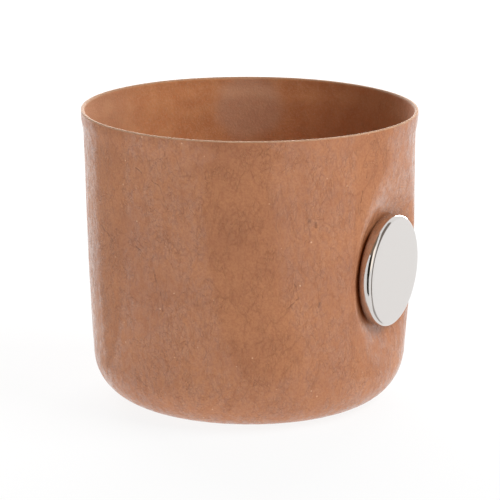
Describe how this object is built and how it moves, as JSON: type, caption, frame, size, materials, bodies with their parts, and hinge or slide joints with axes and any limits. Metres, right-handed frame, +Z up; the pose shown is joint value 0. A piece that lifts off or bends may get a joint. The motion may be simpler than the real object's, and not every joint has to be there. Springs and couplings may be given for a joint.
{
  "type": "magnetic cachepot",
  "caption": "Round one-piece moulded leather cachepot with a rounded foot and a thin raw rim, clamped between nickel disc magnets on a pressed flat of its wall.",
  "frame": {"origin": "centre of the pot's flat underside, where it stands", "axes": "+Z up through the mouth, +X from the pot's axis towards the outer magnet"},
  "size_m": [0.1206, 0.1206, 0.1053],
  "materials": {
    "leather": "satin",
    "nickel": "polished"
  },
  "bodies": {
    "pot": {"leather_pot": "leather"},
    "outer_disc": {"outer_magnet": "nickel"},
    "inner_disc": {"inner_magnet": "nickel"}
  },
  "joints": [
    {"name": "outer_disc_pull", "type": "slide", "parent": "pot", "child": "outer_disc", "axis": [0.9997, 0, -0.0244], "range_m": [0, 0.04]},
    {"name": "inner_disc_lift", "type": "slide", "parent": "pot", "child": "inner_disc", "axis": [0.0244, 0, 0.9997], "range_m": [0, 0.08]}
  ]
}
